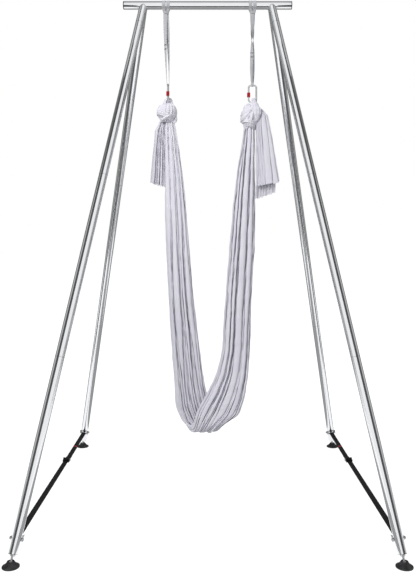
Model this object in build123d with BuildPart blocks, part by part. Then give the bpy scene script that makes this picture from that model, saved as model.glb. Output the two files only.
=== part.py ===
from build123d import *
import os
from math import cos, radians, sin, sqrt

# Free-standing aerial rig: a top bar on four sloping legs, with a silk hammock hung from it on two
# slings. Millimetres. X runs along the bar, -Y is the front, +Z is up, and the origin is on the floor
# under the middle of the bar.

# Top bar
bar_height = 2925.0  # the bar's axis above the floor
bar_length = 1000.0
bar_diameter = 50.0
bar_wall = 2.5
cap_flange = 5.0
cap_flange_diameter = 49.0
cap_insert = 22.0
cap_edge = 1.5

# Legs: each leg's axis runs from the bar's axis to the centre of its foot's ball
leg_top_x = 383.0
foot_x = 915.0
foot_y = 908.0
ball_height = 20.0
leg_diameter = 48.0
leg_wall = 1.5
stub_length = 125.0  # from the bar's axis to the stub's end
upper_length = 990.0
middle_length = 1010.0
spigot_insert = 60.0
spigot_reach = 110.0
spigot_wall = 1.5
spigot_clearance = 0.15
tube_end_gap = 40.0  # from the lower tube's end to the ball's centre

# Cross bolt, nut and strap shackle near each leg's foot
bolt_height = 118.0  # above the floor, on the leg's axis
bolt_diameter = 8.0
hex_across = 13.0
bolt_head = 5.3
nut_height = 6.5
bolt_clearance = 0.4
nut_clearance = 0.05
bolt_tail = 1.5
ear_thickness = 3.0
ear_width = 16.0
shackle_reach = 36.0
crossbar_diameter = 7.0
seat_gap = 0.3

# Foot: end plug, lock nut, stem with a ball end, pad
plug_flange_diameter = 46.0
plug_flange = 2.0
plug_length = 25.0
plug_clearance = 0.1
stem_diameter = 12.0
stem_clearance = 0.1
stem_inside = 60.0
lock_nut_across = 22.0
lock_nut_height = 10.0
neck_diameter = 8.0
neck_length = 16.0
ball_diameter = 20.0
ball_clearance = 0.1
pad_diameter = 82.0
pad_height = 28.0
pad_rim = 5.0
pad_top_diameter = 34.0
mouth_diameter = 24.0
mouth_depth = 3.0

# Side straps
webbing_width = 35.0
webbing = 2.2
loop_play = 0.3
loop_taper = 30.0
sewn_length = 60.0
buckle_y = 245.0  # the cam pin's place along the strap
tail_length = 62.0
tab_y = 530.0
tab_length = 20.0
tab_width = 22.0
tab_thickness = 1.2

# Strap buckle, in the strap's own plane: along the strap, then up from it
cheek_gap = 38.0
cheek_thickness = 2.0
buckle_front = 24.0
buckle_rear = 34.0
base_thickness = 2.0
base_gap = 0.4
cheek_height = 13.0
rear_bar_diameter = 5.0
rear_bar_offset = 28.0
rear_bar_drop = 7.0
pin_diameter = 4.0
pin_rise = 8.0
pin_clearance = 0.05
cam_radius = 5.2
cam_reach = 6.6
lever_length = 30.0
lever_thickness = 2.6
lever_angle = 32.0
lever_width = 36.4

# Slings, hitched round the bar
sling_webbing = 2.2
wrap_width = 21.0
wrap_spacing = 24.0
wrap_play = 0.3
hitch_top = 26.5  # below the bar's axis
hitch_bottom = 48.0
hitch_top_size = (45.0, 9.0)
hitch_bottom_size = (26.0, 7.0)
sling_foot_width = 12.0

# Each station down a sling: drop below the bar's axis, turn in degrees, half the gap between the two
# strands, and the width
left_sling_run = ((46, 0, 1.5, 23), (150, 22, 3.5, 21), (260, 50, 8.0, 19), (370, 75, 9.0, 17))
right_sling_run = (
    (46, 0, 1.5, 23),
    (110, 45, 1.6, 22),
    (175, 90, 1.6, 20),
    (230, 135, 1.8, 21),
    (285, 165, 2.2, 21),
    (380, 180, 3.5, 16),
)
left_sling_x = (-249.0, -237.0)  # at the bar, then at the carabiner
right_sling_x = (269.0, 268.0)
left_sling_turn = 90.0
right_sling_turn = 180.0

# Screw-gate carabiners
rod_diameter = 10.0
ring_height = 112.0
ring_width = 56.0
ring_corner = 17.5
left_ring_drop = 528.0  # from the bar's axis to the ring's middle
right_ring_drop = 531.0
right_ring_x = 269.0
nose = 33.0  # the body's two ends, above and below the ring's middle
pivot = 27.9  # the gate's rivet below the ring's middle
gate_diameter = 9.6
gate_top_gap = 0.5
tongue_thickness = 5.0
tongue_gap = 0.3
key_thickness = 4.0
key_width = 5.0
key_length = 6.5
key_gap = 1.0
rivet_diameter = 3.5
rivet_clearance = 0.05
sleeve_diameter = 19.0
sleeve_length = 27.0
sleeve_bottom = -20.0  # measured from the ring's middle, unlocked
sleeve_clearance = 0.1

# Silk: the loops through the carabiners and the knots below them. Every drop is measured down from the
# bar's axis, because the cloth hangs from the bar.
loop_diameter = 21.4
loop_spread = 16.2
loop_offset = 6.5
loop_leg = 45.0
left_knot_x = -243.0
right_knot_x = 248.0
left_core = ((588, 36), (640, 60), (700, 46))  # drop and radius: top, widest, foot
right_core = ((591, 34), (655, 48), (736, 37))
# Each wrap round a knot: its drop, the wrap's radius, the cloth's own radius, and its tilt in degrees
left_wraps = ((626, 43, 21, 8), (674, 41, 16, -10))
right_wraps = ((636, 33, 19, 34), (690, 30, 17, -28))

# Each station along the hammock: outer edge x and drop, inner edge x and drop, depth front to back
hammock_run = (
    (-253, 700, -196, 700, 50),
    (-255, 807, -177, 807, 56),
    (-255, 987, -152, 987, 66),
    (-254, 1167, -132, 1167, 72),
    (-248, 1467, -105, 1467, 78),
    (-231, 1766, -81, 1766, 86),
    (-204, 2066, -40, 2066, 102),
    (-189, 2275, -16, 2285, 122),
    (-176, 2445, -13, 2321, 146),
    (-98, 2539, -7, 2327, 168),
    (-20, 2552, -1, 2329, 176),
    (56, 2548, 5, 2327, 174),
    (180, 2469, 12, 2321, 150),
    (224, 2335, 19, 2307, 126),
    (238, 2245, 30, 2235, 114),
    (246, 2066, 83, 2066, 100),
    (264, 1766, 104, 1766, 86),
    (282, 1467, 125, 1467, 78),
    (286, 1167, 155, 1167, 72),
    (284, 987, 178, 987, 66),
    (284, 807, 206, 807, 56),
    (280, 736, 214, 736, 50),
)
# Each station down a tail: drop, left and right edge, depth
left_tail_run = (
    (700, -287, -259, 34),
    (753, -313, -261, 44),
    (907, -329, -259, 52),
    (1073, -343, -258, 60),
)
right_tail_run = (
    (619, 276, 328, 36),
    (663, 292, 360, 46),
    (801, 297, 389, 58),
    (1063, 293, 432, 68),
)
right_under_run = ((1025, 300, 412, 44), (1141, 293, 406, 50))
# Widths of the main folds as they cross the cloth, and how far each stands out
fold_shares = (1.3, 0.8, 1.1, 0.7, 1.1)
fold_rise = 0.36  # of the fold's width
edge_rise = 0.1  # of the cloth's depth

leg_run_x = foot_x - leg_top_x
leg_run_y = foot_y
leg_drop = bar_height - ball_height
leg_length = sqrt(leg_run_x**2 + leg_run_y**2 + leg_drop**2)
tube_end = leg_length - tube_end_gap
leg_bore = leg_diameter - 2 * leg_wall
spigot_diameter = leg_bore - 2 * spigot_clearance
bolt_share = (bar_height - bolt_height) / leg_drop
bolt_distance = bolt_share * leg_length
bolt_x = leg_top_x + bolt_share * leg_run_x
bolt_y = bolt_share * leg_run_y
ear_inner = leg_diameter / 2 + seat_gap
ear_outer = ear_inner + ear_thickness
crossbar_y = bolt_y - shackle_reach
ring_half_height = (ring_height - rod_diameter) / 2
ring_half_width = (ring_width - rod_diameter) / 2

sides = {"left": -1, "right": 1}
ends = {"front": -1, "back": 1}
os.makedirs("parts", exist_ok=True)


def write(piece, name):
    """Labels a finished piece and writes its file."""
    piece.part.label = name
    export_step(piece.part, f"parts/{name}.step")


def leg_plane(side, end):
    """The plane where a leg meets the bar's axis: its normal runs down the leg, its x lies across the leg
    in the XZ plane, which is also the way that the leg's cross bolt lies."""
    down = (side * leg_run_x, end * leg_run_y, -leg_drop)
    across = (leg_drop, 0, side * leg_run_x)
    return Plane(origin=(side * leg_top_x, 0, bar_height), x_dir=across, z_dir=down)


def bolt_plane(side, end):
    """The plane at a cross bolt's middle: its normal is the bolt's axis, its x points to the other leg."""
    leg = leg_plane(side, end)
    return Plane(origin=leg.offset(bolt_distance).origin, x_dir=(0, -end, 0), z_dir=leg.x_dir)


def strap_plane(side):
    """The plane down the middle of a side strap: x runs to the back, y up, the normal across the strap."""
    origin = (side * bolt_x, 0, bolt_height)
    return Plane(origin=origin, x_dir=(0, 1, 0), z_dir=(leg_drop, 0, side * leg_run_x))


# Top bar with its four welded stubs. Each stub ends in a spigot for the first leg tube.
bar_plane = Plane(origin=(0, 0, bar_height), x_dir=(0, 1, 0), z_dir=(1, 0, 0))
bar_start = bar_plane.offset(-bar_length / 2)
with BuildPart() as top_bar:
    with BuildSketch(bar_start):
        Circle(bar_diameter / 2)
    extrude(amount=bar_length)
    for side in sides.values():
        for end in ends.values():
            leg = leg_plane(side, end)
            with BuildSketch(leg):
                Circle(leg_diameter / 2)
            extrude(amount=stub_length)
            with BuildSketch(leg.offset(stub_length)):
                Circle(spigot_diameter / 2)
            extrude(amount=spigot_reach)
            with BuildSketch(leg.offset(stub_length - spigot_insert / 2)):
                Circle(spigot_diameter / 2 - spigot_wall)
            extrude(amount=spigot_insert / 2 + spigot_reach, mode=Mode.SUBTRACT)
    with BuildSketch(bar_start):
        Circle(bar_diameter / 2 - bar_wall)
    extrude(amount=bar_length, mode=Mode.SUBTRACT)
write(top_bar, "top_bar")

# End caps, pushed into the bar
for side_name, side in sides.items():
    cap_plane = bar_plane.offset(side * bar_length / 2)
    with BuildPart() as cap:
        with BuildSketch(cap_plane):
            Circle(cap_flange_diameter / 2)
        extrude(amount=side * cap_flange)
        chamfer(cap.edges().sort_by(Axis.X)[0 if side < 0 else -1], cap_edge)
        with BuildSketch(cap_plane):
            Circle(bar_diameter / 2 - bar_wall - plug_clearance)
        extrude(amount=-side * cap_insert)
    write(cap, f"{side_name}_bar_cap")


def leg_tube(plane, start, end, spigot):
    """A tube from start to end down the leg, with a welded-in spigot at its lower end when asked."""
    with BuildPart() as tube:
        with BuildSketch(plane.offset(start)):
            Circle(leg_diameter / 2)
            Circle(leg_bore / 2, mode=Mode.SUBTRACT)
        extrude(amount=end - start)
        if spigot:
            with BuildSketch(plane.offset(end - spigot_insert)):
                Circle(leg_bore / 2)
            extrude(amount=spigot_insert)
            with BuildSketch(plane.offset(end)):
                Circle(spigot_diameter / 2)
            extrude(amount=spigot_reach)
            with BuildSketch(plane.offset(end - spigot_insert)):
                Circle(spigot_diameter / 2 - spigot_wall)
            extrude(amount=spigot_insert + spigot_reach, mode=Mode.SUBTRACT)
    return tube


# Legs, feet and shackles
upper_end = stub_length + upper_length
middle_end = upper_end + middle_length
for end_name, end in ends.items():
    for side_name, side in sides.items():
        name = f"{end_name}_{side_name}"
        leg = leg_plane(side, end)
        cross = bolt_plane(side, end)
        write(leg_tube(leg, stub_length, upper_end, True), f"{name}_upper_tube")
        write(leg_tube(leg, upper_end, middle_end, True), f"{name}_middle_tube")

        lower_blank = leg_tube(leg, middle_end, tube_end, False)
        with BuildPart() as lower_tube:
            add(lower_blank.part)
            with BuildSketch(cross.offset(-leg_diameter)):
                Circle((bolt_diameter + bolt_clearance) / 2)
            extrude(amount=2 * leg_diameter, mode=Mode.SUBTRACT)
        write(lower_tube, f"{name}_lower_tube")

        with BuildPart() as shackle:
            for face in (-1, 1):
                with BuildSketch(cross.offset(face * ear_inner)):
                    with Locations((shackle_reach / 2, 0)):
                        SlotCenterToCenter(shackle_reach, ear_width)
                    Circle((bolt_diameter + bolt_clearance) / 2, mode=Mode.SUBTRACT)
                extrude(amount=face * ear_thickness)
            with BuildSketch(cross.offset(-ear_inner)):
                with Locations((shackle_reach, 0)):
                    Circle(crossbar_diameter / 2)
            extrude(amount=2 * ear_inner)
        write(shackle, f"{name}_shackle")

        with BuildPart() as plug:
            with BuildSketch(leg.offset(tube_end)):
                Circle(plug_flange_diameter / 2)
            extrude(amount=plug_flange)
            with BuildSketch(leg.offset(tube_end)):
                Circle(leg_bore / 2 - plug_clearance)
            extrude(amount=-plug_length)
            with BuildSketch(leg.offset(tube_end - plug_length)):
                Circle(stem_diameter / 2 + stem_clearance)
            extrude(amount=plug_length + plug_flange, mode=Mode.SUBTRACT)
        write(plug, f"{name}_end_plug")

        neck_start = leg_length - neck_length
        with BuildPart() as stem:
            with BuildSketch(leg.offset(tube_end - stem_inside)):
                Circle(stem_diameter / 2)
            extrude(amount=neck_start - tube_end + stem_inside)
            with BuildSketch(leg.offset(neck_start)):
                Circle(neck_diameter / 2)
            extrude(amount=neck_length)
            with Locations(leg.offset(leg_length).origin):
                Sphere(ball_diameter / 2)
        write(stem, f"{name}_foot_stem")

        # The pad is turned about a vertical line through the ball, with an open-mouthed socket
        centre = (side * foot_x, end * foot_y, 0)
        with BuildPart() as pad:
            with BuildSketch(Plane(origin=centre, x_dir=(1, 0, 0), z_dir=(0, -1, 0))):
                with BuildLine():
                    Polyline(
                        (pad_top_diameter / 2, pad_height),
                        (0, pad_height),
                        (0, 0),
                        (pad_diameter / 2, 0),
                        (pad_diameter / 2, pad_rim),
                    )
                    ThreePointArc(
                        (pad_diameter / 2, pad_rim),
                        ((pad_diameter + pad_top_diameter) / 4 - 2, (pad_height + pad_rim) / 2 - 2),
                        (pad_top_diameter / 2, pad_height),
                    )
                make_face()
            revolve(axis=Axis(centre, (0, 0, 1)))
            with Locations((centre[0], centre[1], ball_height)):
                Sphere(ball_diameter / 2 + ball_clearance, mode=Mode.SUBTRACT)
            mouth = Plane(origin=(centre[0], centre[1], pad_height), z_dir=(0, 0, -1))
            with BuildSketch(mouth):
                Circle(mouth_diameter / 2)
            with BuildSketch(mouth.offset(mouth_depth)):
                Circle(ball_diameter / 2 - 1)
            loft(mode=Mode.SUBTRACT)
            with BuildSketch(mouth.offset(mouth_depth)):
                Circle(ball_diameter / 2 - 1)
            extrude(amount=mouth_depth, mode=Mode.SUBTRACT)
        write(pad, f"{name}_foot_pad")

# Cross bolts: heads on the outer side of each leg, nuts on the inner side
with BuildPart() as cross_bolts:
    for end in ends.values():
        for side in sides.values():
            cross = bolt_plane(side, end)
            with BuildSketch(cross.offset(side * ear_outer)):
                RegularPolygon(hex_across / 2, 6, major_radius=False)
            extrude(amount=side * bolt_head)
            with BuildSketch(cross.offset(side * ear_outer)):
                Circle(bolt_diameter / 2)
            extrude(amount=-side * (2 * ear_outer + nut_height + bolt_tail))
write(cross_bolts, "cross_bolts")

with BuildPart() as cross_nuts:
    for end in ends.values():
        for side in sides.values():
            with BuildSketch(bolt_plane(side, end).offset(-side * ear_outer)):
                RegularPolygon(hex_across / 2, 6, major_radius=False)
                Circle(bolt_diameter / 2 + nut_clearance, mode=Mode.SUBTRACT)
            extrude(amount=-side * nut_height)
write(cross_nuts, "cross_nuts")

with BuildPart() as lock_nuts:
    for end in ends.values():
        for side in sides.values():
            with BuildSketch(leg_plane(side, end).offset(tube_end + plug_flange)):
                RegularPolygon(lock_nut_across / 2, 6, major_radius=False)
                Circle(stem_diameter / 2 + stem_clearance, mode=Mode.SUBTRACT)
            extrude(amount=lock_nut_height)
write(lock_nuts, "lock_nuts")


def webbing_loop(plane, centre, bar_radius, away):
    """A sewn webbing loop round a bar, in the strap's plane: a teardrop that narrows to two layers."""
    hole = bar_radius + loop_play
    tip = (centre[0] + away * loop_taper, centre[1])
    with BuildPart() as loop:
        with BuildSketch(plane.offset(-webbing_width / 2)):
            with Locations(centre):
                Circle(hole + webbing)
            with Locations(tip):
                Rectangle(webbing, 2 * webbing)
            make_hull()
            with Locations(centre):
                Circle(hole, mode=Mode.SUBTRACT)
        extrude(amount=webbing_width)
    return loop


# Side straps. The anchor strap runs from the back shackle to the buckle's rear bar; the long strap runs
# from the front shackle through the buckle, and its tail lies just past it.
rear_bar = (buckle_y + rear_bar_offset, -rear_bar_drop)
for side_name, side in sides.items():
    plane = strap_plane(side)
    near_face = plane.offset(-webbing_width / 2)

    back_loop = webbing_loop(plane, (crossbar_y, 0), crossbar_diameter / 2, -1)
    buckle_loop = webbing_loop(plane, rear_bar, rear_bar_diameter / 2, 1)
    anchor_start = rear_bar[0] + loop_taper
    anchor_end = crossbar_y - loop_taper
    slope = rear_bar_drop / (anchor_end - anchor_start)
    sewn_drop = slope * sewn_length
    with BuildPart() as anchor_strap:
        add(back_loop.part)
        add(buckle_loop.part)
        with BuildSketch(near_face):
            Polygon(
                (anchor_start, -rear_bar_drop - webbing / 2),
                (anchor_end, -webbing / 2),
                (anchor_end, webbing / 2),
                (anchor_start, -rear_bar_drop + webbing / 2),
                align=None,
            )
            Polygon(
                (anchor_start, -rear_bar_drop - webbing),
                (anchor_start + sewn_length, -rear_bar_drop + sewn_drop - webbing),
                (anchor_start + sewn_length, -rear_bar_drop + sewn_drop + webbing),
                (anchor_start, -rear_bar_drop + webbing),
                align=None,
            )
            Polygon(
                (anchor_end - sewn_length, -sewn_drop - webbing),
                (anchor_end, -webbing),
                (anchor_end, webbing),
                (anchor_end - sewn_length, -sewn_drop + webbing),
                align=None,
            )
        extrude(amount=webbing_width)
    write(anchor_strap, f"{side_name}_anchor_strap")

    front_loop = webbing_loop(plane, (-crossbar_y, 0), crossbar_diameter / 2, 1)
    long_start = -crossbar_y + loop_taper
    with BuildPart() as long_strap:
        add(front_loop.part)
        with BuildSketch(near_face):
            Polygon(
                (long_start, -webbing / 2),
                (buckle_y + tail_length, -webbing / 2),
                (buckle_y + tail_length, webbing / 2),
                (long_start, webbing / 2),
                align=None,
            )
            Polygon(
                (long_start, -webbing),
                (long_start + sewn_length, -webbing),
                (long_start + sewn_length, webbing),
                (long_start, webbing),
                align=None,
            )
        extrude(amount=webbing_width)
    write(long_strap, f"{side_name}_long_strap")

    # Buckle frame: a base plate under the webbing, two cheeks and the rear bar
    base_top = -webbing / 2 - base_gap
    cheek_outer = cheek_gap / 2 + cheek_thickness
    with BuildPart() as buckle_frame:
        with BuildSketch(plane.offset(-cheek_outer)):
            Polygon(
                (buckle_y - buckle_front, base_top - base_thickness),
                (buckle_y + rear_bar_offset / 2, base_top - base_thickness),
                (buckle_y + rear_bar_offset / 2, base_top),
                (buckle_y - buckle_front, base_top),
                align=None,
            )
        extrude(amount=2 * cheek_outer)
        for face in (-1, 1):
            with BuildSketch(plane.offset(face * cheek_gap / 2)):
                Polygon(
                    (buckle_y - buckle_front, base_top - base_thickness),
                    (buckle_y + rear_bar_offset / 2, base_top - base_thickness),
                    (buckle_y + rear_bar_offset - 2, -rear_bar_drop - rear_bar_diameter),
                    (buckle_y + buckle_rear, -rear_bar_drop - rear_bar_diameter / 2),
                    (buckle_y + buckle_rear, -rear_bar_drop / 2),
                    (buckle_y + buckle_rear / 3, cheek_height),
                    (buckle_y - buckle_front / 3, cheek_height),
                    align=None,
                )
                with Locations((buckle_y, pin_rise)):
                    Circle(pin_diameter / 2 + pin_clearance, mode=Mode.SUBTRACT)
            extrude(amount=face * cheek_thickness)
        with BuildSketch(plane.offset(-cheek_gap / 2)):
            with Locations(rear_bar):
                Circle(rear_bar_diameter / 2)
        extrude(amount=cheek_gap)
    write(buckle_frame, f"{side_name}_buckle_frame")

    # Cam lever: a lobed cam on the pin, with a thumb plate that slopes up towards the front
    tip_angle = radians(180 - lever_angle)
    thumb = (buckle_y + lever_length * cos(tip_angle), pin_rise + lever_length * sin(tip_angle))
    with BuildPart() as buckle_lever:
        with BuildSketch(plane.offset(-lever_width / 2)):
            with Locations((buckle_y, pin_rise)):
                Circle(cam_radius)
            with Locations((buckle_y, pin_rise - cam_reach + 1.5)):
                Circle(1.5)
            make_hull()
        extrude(amount=lever_width)
        with BuildSketch(plane.offset(-lever_width / 2)):
            with Locations((buckle_y, pin_rise + cam_radius - lever_thickness / 2)):
                Circle(lever_thickness / 2)
            with Locations(thumb):
                Circle(lever_thickness / 2)
            make_hull()
        extrude(amount=lever_width)
        with BuildSketch(plane.offset(-lever_width / 2)):
            with Locations((buckle_y, pin_rise)):
                Circle(pin_diameter / 2 + pin_clearance)
        extrude(amount=lever_width, mode=Mode.SUBTRACT)
    write(buckle_lever, f"{side_name}_buckle_lever")

with BuildPart() as buckle_pins:
    for side in sides.values():
        with BuildSketch(strap_plane(side).offset(-cheek_outer)):
            with Locations((buckle_y, pin_rise)):
                Circle(pin_diameter / 2)
        extrude(amount=2 * cheek_outer)
write(buckle_pins, "buckle_pins")

# Small stitched tabs, flat on the anchor straps
tab_base = -rear_bar_drop + slope * (tab_y - anchor_start) + webbing / 2
tab_lean = slope * tab_length
with BuildPart() as strap_tabs:
    for side in sides.values():
        with BuildSketch(strap_plane(side).offset(-tab_width / 2)):
            Polygon(
                (tab_y, tab_base),
                (tab_y + tab_length, tab_base + tab_lean),
                (tab_y + tab_length, tab_base + tab_lean + tab_thickness),
                (tab_y, tab_base + tab_thickness),
                align=None,
            )
        extrude(amount=tab_width)
write(strap_tabs, "strap_tabs")


def ring_plane(centre, turned):
    """A carabiner's own plane, with its gate at the side of -x. A turned one stands edge-on to the front."""
    x_dir = (0, 1, 0) if turned else (1, 0, 0)
    z_dir = (1, 0, 0) if turned else (0, -1, 0)
    return Plane(origin=centre, x_dir=x_dir, z_dir=z_dir)


def sling(x_top, x_foot, run, foot_turn, ring):
    """A sewn sling: two wraps round the bar, the hitch under it, two strands with the run's turns, and
    the loop that goes under the carabiner's top."""
    foot_z = (ring * Location((0, ring_half_height, 0))).position.Z
    foot_drop = bar_height - foot_z
    foot_gap = rod_diameter / 2 + wrap_play + sling_webbing / 2
    stations = (*run, (foot_drop, foot_turn, foot_gap, sling_foot_width))
    with BuildPart() as band:
        for place in (-1, 1):
            x = x_top + place * wrap_spacing / 2
            with BuildSketch(bar_plane.offset(x - wrap_width / 2)):
                Circle(bar_diameter / 2 + wrap_play + sling_webbing)
                Circle(bar_diameter / 2 + wrap_play, mode=Mode.SUBTRACT)
            extrude(amount=wrap_width)
        with BuildSketch(Plane(origin=(x_top, 0, bar_height - hitch_top))):
            Rectangle(*hitch_top_size)
        with BuildSketch(Plane(origin=(x_top, 0, bar_height - hitch_bottom))):
            Rectangle(*hitch_bottom_size)
        loft()
        for strand in (-1, 1):
            for drop, turn, gap, width in stations:
                share = (drop - stations[0][0]) / (foot_drop - stations[0][0])
                x = x_top + share * (x_foot - x_top) - strand * gap * sin(radians(turn))
                y = strand * gap * cos(radians(turn))
                along = (cos(radians(turn)), sin(radians(turn)), 0)
                with BuildSketch(Plane(origin=(x, y, bar_height - drop), x_dir=along, z_dir=(0, 0, -1))):
                    Rectangle(width, sling_webbing)
            loft(ruled=True)
        foot = Plane(origin=(x_foot, 0, foot_z), x_dir=ring.z_dir, z_dir=ring.x_dir)
        with BuildSketch(foot.offset(-sling_foot_width / 2)):
            Circle(foot_gap + sling_webbing / 2)
            Circle(foot_gap - sling_webbing / 2, mode=Mode.SUBTRACT)
            with Locations((0, -foot.y_dir.Z * foot_gap)):
                Rectangle(4 * foot_gap, 2 * foot_gap, mode=Mode.INTERSECT)
        extrude(amount=sling_foot_width)
    return band


def carabiner_body(ring):
    """A bent rod with a slotted tongue for the gate's rivet at its lower end and a key at its nose."""
    w, h = ring_half_width, ring_half_height
    with BuildPart() as body:
        with BuildLine(ring) as rod:
            FilletPolyline((-w, -nose), (-w, -h), (w, -h), (w, h), (-w, h), (-w, nose), radius=ring_corner)
        with BuildSketch(Plane(origin=rod.line @ 0, z_dir=rod.line % 0)):
            Circle(rod_diameter / 2)
        sweep()
        with BuildSketch(ring.offset(-tongue_thickness / 2)):
            with Locations((-w, -pivot)):
                Circle(gate_diameter / 2)
            with Locations((-w, -(pivot + nose) / 2)):
                Rectangle(gate_diameter, nose - pivot + 0.5)
            with Locations((-w, -pivot)):
                Circle(rivet_diameter / 2 + rivet_clearance, mode=Mode.SUBTRACT)
        extrude(amount=tongue_thickness)
        with BuildSketch(ring.offset(-key_thickness / 2)):
            with Locations((-w, nose - key_length / 2 + 0.5)):
                Rectangle(key_width, key_length + 1)
        extrude(amount=key_thickness)
    return body


def carabiner_gate(ring):
    """A round bar, forked over the body's tongue at its foot and slotted for the key at its top."""
    w = ring_half_width
    gate_top = nose - gate_top_gap
    foot_slot = gate_diameter / 2 + 2 * tongue_gap
    top_slot = nose - key_length - key_gap
    start = ring * Location((-w, -pivot, 0))
    with BuildPart() as gate:
        with BuildSketch(Plane(origin=start.position, x_dir=ring.x_dir, z_dir=ring.y_dir)):
            Circle(gate_diameter / 2)
        extrude(amount=gate_top + pivot)
        with Locations(start.position):
            Sphere(gate_diameter / 2)
        with BuildSketch(ring.offset(-tongue_thickness / 2 - tongue_gap)):
            with Locations((-w, -pivot)):
                Rectangle(2 * gate_diameter, 2 * foot_slot)
        extrude(amount=tongue_thickness + 2 * tongue_gap, mode=Mode.SUBTRACT)
        with BuildSketch(ring.offset(-key_thickness / 2 - tongue_gap)):
            with Locations((-w, (top_slot + nose) / 2)):
                Rectangle(2 * gate_diameter, nose - top_slot)
        extrude(amount=key_thickness + 2 * tongue_gap, mode=Mode.SUBTRACT)
        with BuildSketch(ring.offset(-gate_diameter)):
            with Locations((-w, -pivot)):
                Circle(rivet_diameter / 2 + rivet_clearance)
        extrude(amount=2 * gate_diameter, mode=Mode.SUBTRACT)
    return gate


def knot(ring, knot_x, core, wraps):
    """The silk's loop over the carabiner's foot, and the knot below it: a core with tilted wraps."""
    rod = (ring * Location((loop_offset, -ring_half_height, 0))).position
    (top_drop, top_r), (mid_drop, mid_r), (foot_drop, foot_r) = core
    with BuildPart() as lump:
        with BuildSketch(Plane(origin=(knot_x, 0, bar_height), x_dir=(1, 0, 0), z_dir=(0, -1, 0))):
            with BuildLine():
                Polyline((top_r, -top_drop), (0, -top_drop), (0, -foot_drop), (foot_r, -foot_drop))
                ThreePointArc((foot_r, -foot_drop), (mid_r, -mid_drop), (top_r, -top_drop))
            make_face()
        revolve(axis=Axis((knot_x, 0, 0), (0, 0, 1)))
        for drop, wrap_r, cloth_r, tilt in wraps:
            with Locations(Location((knot_x, 0, bar_height - drop), (0, tilt, 0))):
                Torus(wrap_r, cloth_r)
        start = Plane(origin=rod + ring.z_dir * loop_spread, x_dir=ring.x_dir, z_dir=(0, 0, 1))
        with BuildSketch(start):
            Circle(loop_diameter / 2)
        revolve(axis=Axis(rod, -ring.x_dir), revolution_arc=180)
        for face in (-1, 1):
            leg = Plane(origin=rod + ring.z_dir * face * loop_spread, x_dir=ring.x_dir, z_dir=(0, 0, -1))
            with BuildSketch(leg):
                Circle(loop_diameter / 2)
            extrude(amount=loop_leg)
    return lump


def folds(width, depth):
    """A gathered cloth's outline: rounded folds on its front and back, and a slight swell at each edge."""
    swell = edge_rise * depth
    total = sum(fold_shares)
    widths = [(width - 2 * swell) * share / total for share in fold_shares]
    rise = fold_rise * min(max(widths), depth / 2)
    level = depth / 2 - rise
    x = [-sum(widths) / 2]
    for fold in widths:
        x.append(x[-1] + fold)
    with BuildLine() as outline:
        for a, b in zip(x, x[1:]):
            ThreePointArc((a, -level), ((a + b) / 2, -level - fold_rise * min(b - a, depth / 2)), (b, -level))
        ThreePointArc((x[-1], -level), (x[-1] + swell, 0), (x[-1], level))
        for a, b in reversed(list(zip(x, x[1:]))):
            ThreePointArc((b, level), ((a + b) / 2, level + fold_rise * min(b - a, depth / 2)), (a, level))
        ThreePointArc((x[0], level), (x[0] - swell, 0), (x[0], -level))
    return outline.edges()


def tail(run):
    """A loose end of the silk: folded sections at the run's drops."""
    with BuildPart() as cloth:
        for drop, left, right, depth in run:
            middle = ((left + right) / 2, 0, bar_height - drop)
            with BuildSketch(Plane(origin=middle, x_dir=(1, 0, 0), z_dir=(0, 0, -1))):
                make_face(folds(right - left, depth))
        loft(ruled=True)
    return cloth


left_ring = ring_plane((left_sling_x[1], 0, bar_height - left_ring_drop), True)
right_ring = ring_plane((right_ring_x, 0, bar_height - right_ring_drop), False)
write(sling(*left_sling_x, left_sling_run, left_sling_turn, left_ring), "left_sling")
write(sling(*right_sling_x, right_sling_run, right_sling_turn, right_ring), "right_sling")

for side_name, ring in (("left", left_ring), ("right", right_ring)):
    write(carabiner_body(ring), f"{side_name}_carabiner_body")
    write(carabiner_gate(ring), f"{side_name}_carabiner_gate")
    start = ring * Location((-ring_half_width, sleeve_bottom, 0))
    with BuildPart() as sleeve:
        with BuildSketch(Plane(origin=start.position, x_dir=ring.x_dir, z_dir=ring.y_dir)):
            Circle(sleeve_diameter / 2)
            Circle(gate_diameter / 2 + sleeve_clearance, mode=Mode.SUBTRACT)
        extrude(amount=sleeve_length)
    write(sleeve, f"{side_name}_locking_sleeve")

with BuildPart() as gate_rivets:
    for ring in (left_ring, right_ring):
        with BuildSketch(ring.offset(-gate_diameter / 2)):
            with Locations((-ring_half_width, -pivot)):
                Circle(rivet_diameter / 2)
        extrude(amount=gate_diameter)
write(gate_rivets, "gate_rivets")

# Silk: knots, the hammock between them and the two loose tails
left_lump = knot(left_ring, left_knot_x, left_core, left_wraps)
right_lump = knot(right_ring, right_knot_x, right_core, right_wraps)
write(left_lump, "left_silk_knot")
write(right_lump, "right_silk_knot")

with BuildPart() as hammock:
    for outer_x, outer_drop, inner_x, inner_drop, depth in hammock_run:
        inward = Vector(inner_x - outer_x, 0, outer_drop - inner_drop)
        middle = ((outer_x + inner_x) / 2, 0, bar_height - (outer_drop + inner_drop) / 2)
        with BuildSketch(Plane(origin=middle, x_dir=inward, z_dir=(inward.Z, 0, -inward.X))):
            make_face(folds(inward.length, depth))
    loft(ruled=True)
write(hammock, "silk_hammock")

write(tail(left_tail_run), "left_silk_tail")
upper_layer = tail(right_tail_run)
under_layer = tail(right_under_run)
with BuildPart() as right_tail:
    add(upper_layer.part)
    add(under_layer.part)
    add(right_lump.part, mode=Mode.SUBTRACT)
write(right_tail, "right_silk_tail")

print("leg length to the ball", round(leg_length, 1), "bolt x, y", round(bolt_x, 1), round(bolt_y, 1))
print("crossbar y", round(crossbar_y, 1))
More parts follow.
